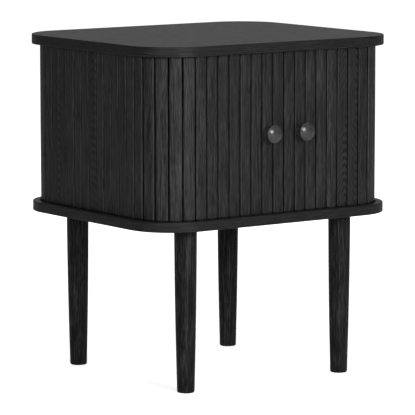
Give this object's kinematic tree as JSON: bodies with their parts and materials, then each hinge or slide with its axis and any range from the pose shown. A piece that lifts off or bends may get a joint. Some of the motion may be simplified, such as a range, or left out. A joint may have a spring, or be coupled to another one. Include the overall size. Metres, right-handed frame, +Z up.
{
  "type": "corner table with roll-front cabinet",
  "caption": "Low side table: a rounded-corner slatted cabinet with roll-front curtains and round knobs, on turned tapered legs, in black-stained wood",
  "frame": {"origin": "on the floor, in the middle of the bounding box (the knobs are its front limit)", "axes": "+Z up, the seam and the knobs face -Y, +X to the right of the front as seen from above with the front below"},
  "size_m": [0.48, 0.427, 0.55],
  "materials": {
    "stained_plates": "black-stained oak veneer, satin, open grain",
    "stained_slats": "black-stained oak, upright grain, satin",
    "stained_legs": "black-stained turned oak, satin",
    "inner_case": "black-stained panel, matt",
    "dowel_wood": "plain beech",
    "knob_lacquer": "smooth satin black paint",
    "zinc_steel": "zinc-plated steel"
  },
  "bodies": {
    "cabinet": {"top_plate": "stained_plates", "bottom_plate": "stained_plates", "side_panel_left": "inner_case", "side_panel_right": "inner_case", "back_panel": "inner_case", "panel_dowels": "dowel_wood", "leg_front_left": "stained_legs", "leg_front_right": "stained_legs", "leg_back_left": "stained_legs", "leg_back_right": "stained_legs", "leg_hanger_bolts": "zinc_steel", "leg_inserts": "zinc_steel"},
    "right_curtain_front": {"slat_right_01": "stained_slats", "slat_right_02": "stained_slats", "knob_right": "knob_lacquer", "knob_screw_right": "zinc_steel"},
    "right_slat_03": {"slat_right_03": "stained_slats"},
    "right_slat_04": {"slat_right_04": "stained_slats"},
    "right_slat_05": {"slat_right_05": "stained_slats"},
    "right_slat_06": {"slat_right_06": "stained_slats"},
    "right_slat_07": {"slat_right_07": "stained_slats"},
    "right_slat_08": {"slat_right_08": "stained_slats"},
    "right_slat_09": {"slat_right_09": "stained_slats"},
    "right_slat_10": {"slat_right_10": "stained_slats"},
    "right_slat_11": {"slat_right_11": "stained_slats"},
    "right_slat_12": {"slat_right_12": "stained_slats"},
    "right_curtain_side": {"slats_right_side": "stained_slats"},
    "right_slat_20": {"slat_right_20": "stained_slats"},
    "right_slat_21": {"slat_right_21": "stained_slats"},
    "right_slat_22": {"slat_right_22": "stained_slats"},
    "right_slat_23": {"slat_right_23": "stained_slats"},
    "right_slat_24": {"slat_right_24": "stained_slats"},
    "right_slat_25": {"slat_right_25": "stained_slats"},
    "right_slat_26": {"slat_right_26": "stained_slats"},
    "right_slat_27": {"slat_right_27": "stained_slats"},
    "left_curtain_front": {"slat_left_01": "stained_slats", "slat_left_02": "stained_slats", "slat_left_03": "stained_slats", "knob_left": "knob_lacquer", "knob_screw_left": "zinc_steel"},
    "left_slat_04": {"slat_left_04": "stained_slats"},
    "left_slat_05": {"slat_left_05": "stained_slats"},
    "left_slat_06": {"slat_left_06": "stained_slats"},
    "left_slat_07": {"slat_left_07": "stained_slats"},
    "left_slat_08": {"slat_left_08": "stained_slats"},
    "left_slat_09": {"slat_left_09": "stained_slats"},
    "left_slat_10": {"slat_left_10": "stained_slats"},
    "left_slat_11": {"slat_left_11": "stained_slats"},
    "left_slat_12": {"slat_left_12": "stained_slats"},
    "left_slat_13": {"slat_left_13": "stained_slats"},
    "left_curtain_side": {"slats_left_side": "stained_slats"},
    "left_slat_21": {"slat_left_21": "stained_slats"},
    "left_slat_22": {"slat_left_22": "stained_slats"},
    "left_slat_23": {"slat_left_23": "stained_slats"},
    "left_slat_24": {"slat_left_24": "stained_slats"},
    "left_slat_25": {"slat_left_25": "stained_slats"},
    "left_slat_26": {"slat_left_26": "stained_slats"},
    "left_slat_27": {"slat_left_27": "stained_slats"}
  },
  "joints": [
    {"name": "right_curtain_slide", "type": "slide", "parent": "cabinet", "child": "right_curtain_front", "axis": [1, 0, 0], "range_m": [0, 0.1065]},
    {"name": "right_slat_03_turn", "type": "hinge", "parent": "cabinet", "child": "right_slat_03", "pos_m": [0.10535, 0.67858, 0.406], "axis": [0, 0, 1], "range_deg": [0, 7.1]},
    {"name": "right_slat_04_turn", "type": "hinge", "parent": "cabinet", "child": "right_slat_04", "pos_m": [0.12107, 0.03904, 0.406], "axis": [0, 0, 1], "range_deg": [0, 26.79]},
    {"name": "right_slat_05_turn", "type": "hinge", "parent": "cabinet", "child": "right_slat_05", "pos_m": [0.1326, -0.05932, 0.406], "axis": [0, 0, 1], "range_deg": [0, 46.73]},
    {"name": "right_slat_06_turn", "type": "hinge", "parent": "cabinet", "child": "right_slat_06", "pos_m": [0.14362, -0.09807, 0.406], "axis": [0, 0, 1], "range_deg": [0, 66.68]},
    {"name": "right_slat_07_turn", "type": "hinge", "parent": "cabinet", "child": "right_slat_07", "pos_m": [0.154, -0.11665, 0.406], "axis": [0, 0, 1], "range_deg": [0, 85.54]},
    {"name": "right_slat_08_turn", "type": "hinge", "parent": "cabinet", "child": "right_slat_08", "pos_m": [0.15232, -0.11505, 0.406], "axis": [0, 0, 1], "range_deg": [0, 83]},
    {"name": "right_slat_09_turn", "type": "hinge", "parent": "cabinet", "child": "right_slat_09", "pos_m": [0.13086, -0.10428, 0.406], "axis": [0, 0, 1], "range_deg": [0, 63.31]},
    {"name": "right_slat_10_turn", "type": "hinge", "parent": "cabinet", "child": "right_slat_10", "pos_m": [0.08663, -0.09322, 0.406], "axis": [0, 0, 1], "range_deg": [0, 43.37]},
    {"name": "right_slat_11_turn", "type": "hinge", "parent": "cabinet", "child": "right_slat_11", "pos_m": [-0.0346, -0.08149, 0.406], "axis": [0, 0, 1], "range_deg": [0, 23.42]},
    {"name": "right_slat_12_turn", "type": "hinge", "parent": "cabinet", "child": "right_slat_12", "pos_m": [-1.12885, -0.06427, 0.406], "axis": [0, 0, 1], "range_deg": [0, 4.56]},
    {"name": "right_side_slide", "type": "slide", "parent": "cabinet", "child": "right_curtain_side", "axis": [0, 1, 0], "range_m": [0, 0.1067]},
    {"name": "right_slat_20_turn", "type": "hinge", "parent": "cabinet", "child": "right_slat_20", "pos_m": [-0.26766, 0.08458, 0.406], "axis": [0, 0, 1], "range_deg": [0, 12.43]},
    {"name": "right_slat_21_turn", "type": "hinge", "parent": "cabinet", "child": "right_slat_21", "pos_m": [0.03828, 0.09791, 0.406], "axis": [0, 0, 1], "range_deg": [0, 32.37]},
    {"name": "right_slat_22_turn", "type": "hinge", "parent": "cabinet", "child": "right_slat_22", "pos_m": [0.11082, 0.10922, 0.406], "axis": [0, 0, 1], "range_deg": [0, 52.31]},
    {"name": "right_slat_23_turn", "type": "hinge", "parent": "cabinet", "child": "right_slat_23", "pos_m": [0.14233, 0.12018, 0.406], "axis": [0, 0, 1], "range_deg": [0, 72.26]},
    {"name": "right_slat_24_turn", "type": "hinge", "parent": "cabinet", "child": "right_slat_24", "pos_m": [0.15592, 0.12924, 0.406], "axis": [0, 0, 1], "range_deg": [0, 88.37]},
    {"name": "right_slat_25_turn", "type": "hinge", "parent": "cabinet", "child": "right_slat_25", "pos_m": [0.14963, 0.12131, 0.406], "axis": [0, 0, 1], "range_deg": [0, 77.67]},
    {"name": "right_slat_26_turn", "type": "hinge", "parent": "cabinet", "child": "right_slat_26", "pos_m": [0.13872, 0.09522, 0.406], "axis": [0, 0, 1], "range_deg": [0, 57.73]},
    {"name": "right_slat_27_turn", "type": "hinge", "parent": "cabinet", "child": "right_slat_27", "pos_m": [0.12755, 0.03914, 0.406], "axis": [0, 0, 1], "range_deg": [0, 37.79]},
    {"name": "left_curtain_slide", "type": "slide", "parent": "cabinet", "child": "left_curtain_front", "axis": [-1, 0, 0], "range_m": [0, 0.1065]},
    {"name": "left_slat_04_turn", "type": "hinge", "parent": "cabinet", "child": "left_slat_04", "pos_m": [-0.10765, 0.49267, 0.406], "axis": [0, 0, 1], "range_deg": [-9.02, 0]},
    {"name": "left_slat_05_turn", "type": "hinge", "parent": "cabinet", "child": "left_slat_05", "pos_m": [-0.12237, 0.02187, 0.406], "axis": [0, 0, 1], "range_deg": [-28.94, 0]},
    {"name": "left_slat_06_turn", "type": "hinge", "parent": "cabinet", "child": "left_slat_06", "pos_m": [-0.1338, -0.06511, 0.406], "axis": [0, 0, 1], "range_deg": [-48.88, 0]},
    {"name": "left_slat_07_turn", "type": "hinge", "parent": "cabinet", "child": "left_slat_07", "pos_m": [-0.1448, -0.10082, 0.406], "axis": [0, 0, 1], "range_deg": [-68.83, 0]},
    {"name": "left_slat_08_turn", "type": "hinge", "parent": "cabinet", "child": "left_slat_08", "pos_m": [-0.15479, -0.11753, 0.406], "axis": [0, 0, 1], "range_deg": [-86.87, 0]},
    {"name": "left_slat_09_turn", "type": "hinge", "parent": "cabinet", "child": "left_slat_09", "pos_m": [-0.15079, -0.11399, 0.406], "axis": [0, 0, 1], "range_deg": [-81.08, 0]},
    {"name": "left_slat_10_turn", "type": "hinge", "parent": "cabinet", "child": "left_slat_10", "pos_m": [-0.12755, -0.1031, 0.406], "axis": [0, 0, 1], "range_deg": [-61.16, 0]},
    {"name": "left_slat_11_turn", "type": "hinge", "parent": "cabinet", "child": "left_slat_11", "pos_m": [-0.07922, -0.092, 0.406], "axis": [0, 0, 1], "range_deg": [-41.22, 0]},
    {"name": "left_slat_12_turn", "type": "hinge", "parent": "cabinet", "child": "left_slat_12", "pos_m": [0.06126, -0.08011, 0.406], "axis": [0, 0, 1], "range_deg": [-21.27, 0]},
    {"name": "left_slat_13_turn", "type": "hinge", "parent": "cabinet", "child": "left_slat_13", "pos_m": [1.69517, -0.06198, 0.406], "axis": [0, 0, 1], "range_deg": [-3.23, 0]},
    {"name": "left_side_slide", "type": "slide", "parent": "cabinet", "child": "left_curtain_side", "axis": [0, 1, 0], "range_m": [0, 0.1067]},
    {"name": "left_slat_21_turn", "type": "hinge", "parent": "cabinet", "child": "left_slat_21", "pos_m": [0.19477, 0.08636, 0.406], "axis": [0, 0, 1], "range_deg": [-14.56, 0]},
    {"name": "left_slat_22_turn", "type": "hinge", "parent": "cabinet", "child": "left_slat_22", "pos_m": [-0.05012, 0.09916, 0.406], "axis": [0, 0, 1], "range_deg": [-34.51, 0]},
    {"name": "left_slat_23_turn", "type": "hinge", "parent": "cabinet", "child": "left_slat_23", "pos_m": [-0.1154, 0.11041, 0.406], "axis": [0, 0, 1], "range_deg": [-54.45, 0]},
    {"name": "left_slat_24_turn", "type": "hinge", "parent": "cabinet", "child": "left_slat_24", "pos_m": [-0.14461, 0.12135, 0.406], "axis": [0, 0, 1], "range_deg": [-74.4, 0]},
    {"name": "left_slat_25_turn", "type": "hinge", "parent": "cabinet", "child": "left_slat_25", "pos_m": [-0.15607, 0.12953, 0.406], "axis": [0, 0, 1], "range_deg": [-88.72, 0]},
    {"name": "left_slat_26_turn", "type": "hinge", "parent": "cabinet", "child": "left_slat_26", "pos_m": [-0.14847, 0.11926, 0.406], "axis": [0, 0, 1], "range_deg": [-75.54, 0]},
    {"name": "left_slat_27_turn", "type": "hinge", "parent": "cabinet", "child": "left_slat_27", "pos_m": [-0.13754, 0.09119, 0.406], "axis": [0, 0, 1], "range_deg": [-55.59, 0]}
  ],
  "couplings": [
    {"joint": "right_slat_03_turn", "follows": "right_curtain_slide", "rad_per_m": 1.1552},
    {"joint": "right_slat_04_turn", "follows": "right_curtain_slide", "rad_per_m": 4.3816},
    {"joint": "right_slat_05_turn", "follows": "right_curtain_slide", "rad_per_m": 7.6501},
    {"joint": "right_slat_06_turn", "follows": "right_curtain_slide", "rad_per_m": 10.919},
    {"joint": "right_slat_07_turn", "follows": "right_curtain_slide", "rad_per_m": 14.01},
    {"joint": "right_slat_08_turn", "follows": "right_curtain_slide", "rad_per_m": 13.594},
    {"joint": "right_slat_09_turn", "follows": "right_curtain_slide", "rad_per_m": 10.368},
    {"joint": "right_slat_10_turn", "follows": "right_curtain_slide", "rad_per_m": 7.0991},
    {"joint": "right_slat_11_turn", "follows": "right_curtain_slide", "rad_per_m": 3.8306},
    {"joint": "right_slat_12_turn", "follows": "right_curtain_slide", "rad_per_m": 0.73907},
    {"joint": "right_side_slide", "follows": "right_curtain_slide", "ratio": 1},
    {"joint": "right_slat_20_turn", "follows": "right_curtain_slide", "rad_per_m": 2.0282},
    {"joint": "right_slat_21_turn", "follows": "right_curtain_slide", "rad_per_m": 5.2967},
    {"joint": "right_slat_22_turn", "follows": "right_curtain_slide", "rad_per_m": 8.5652},
    {"joint": "right_slat_23_turn", "follows": "right_curtain_slide", "rad_per_m": 11.834},
    {"joint": "right_slat_24_turn", "follows": "right_curtain_slide", "rad_per_m": 14.473},
    {"joint": "right_slat_25_turn", "follows": "right_curtain_slide", "rad_per_m": 12.721},
    {"joint": "right_slat_26_turn", "follows": "right_curtain_slide", "rad_per_m": 9.4526},
    {"joint": "right_slat_27_turn", "follows": "right_curtain_slide", "rad_per_m": 6.1841},
    {"joint": "left_slat_04_turn", "follows": "left_curtain_slide", "rad_per_m": -1.4705},
    {"joint": "left_slat_05_turn", "follows": "left_curtain_slide", "rad_per_m": -4.7346},
    {"joint": "left_slat_06_turn", "follows": "left_curtain_slide", "rad_per_m": -8.0031},
    {"joint": "left_slat_07_turn", "follows": "left_curtain_slide", "rad_per_m": -11.272},
    {"joint": "left_slat_08_turn", "follows": "left_curtain_slide", "rad_per_m": -14.228},
    {"joint": "left_slat_09_turn", "follows": "left_curtain_slide", "rad_per_m": -13.279},
    {"joint": "left_slat_10_turn", "follows": "left_curtain_slide", "rad_per_m": -10.015},
    {"joint": "left_slat_11_turn", "follows": "left_curtain_slide", "rad_per_m": -6.7462},
    {"joint": "left_slat_12_turn", "follows": "left_curtain_slide", "rad_per_m": -3.4777},
    {"joint": "left_slat_13_turn", "follows": "left_curtain_slide", "rad_per_m": -0.52106},
    {"joint": "left_side_slide", "follows": "left_curtain_slide", "ratio": 1},
    {"joint": "left_slat_21_turn", "follows": "left_curtain_slide", "rad_per_m": -2.3786},
    {"joint": "left_slat_22_turn", "follows": "left_curtain_slide", "rad_per_m": -5.6471},
    {"joint": "left_slat_23_turn", "follows": "left_curtain_slide", "rad_per_m": -8.9156},
    {"joint": "left_slat_24_turn", "follows": "left_curtain_slide", "rad_per_m": -12.184},
    {"joint": "left_slat_25_turn", "follows": "left_curtain_slide", "rad_per_m": -14.531},
    {"joint": "left_slat_26_turn", "follows": "left_curtain_slide", "rad_per_m": -12.371},
    {"joint": "left_slat_27_turn", "follows": "left_curtain_slide", "rad_per_m": -9.1022}
  ]
}
